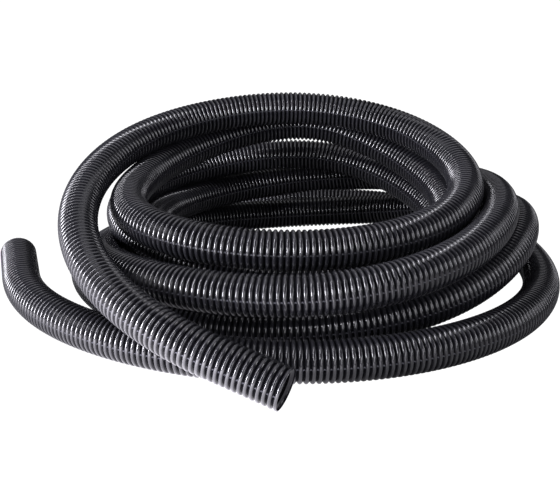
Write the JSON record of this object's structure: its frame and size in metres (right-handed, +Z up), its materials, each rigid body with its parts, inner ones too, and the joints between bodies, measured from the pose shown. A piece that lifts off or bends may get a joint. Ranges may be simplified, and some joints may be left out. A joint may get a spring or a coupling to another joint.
{
  "type": "vacuum hose",
  "caption": "Ribbed black plastic vacuum hose lying in a loose round pile, with both plain cut ends free and open.",
  "frame": {"origin": "centre of the pile's outer box, on the surface that it lies on", "axes": "+Z up, -Y towards the side with the front mouth, +X to the right of it"},
  "size_m": [0.7347, 0.7685, 0.2371],
  "materials": {
    "hose_wall": "glossy black"
  },
  "bodies": {
    "root": {"front_end": "hose_wall", "front_run": "hose_wall", "turn_1": "hose_wall", "turn_2": "hose_wall", "turn_3": "hose_wall", "turn_4": "hose_wall", "turn_5": "hose_wall", "rear_run": "hose_wall", "rear_end": "hose_wall"}
  },
  "joints": []
}
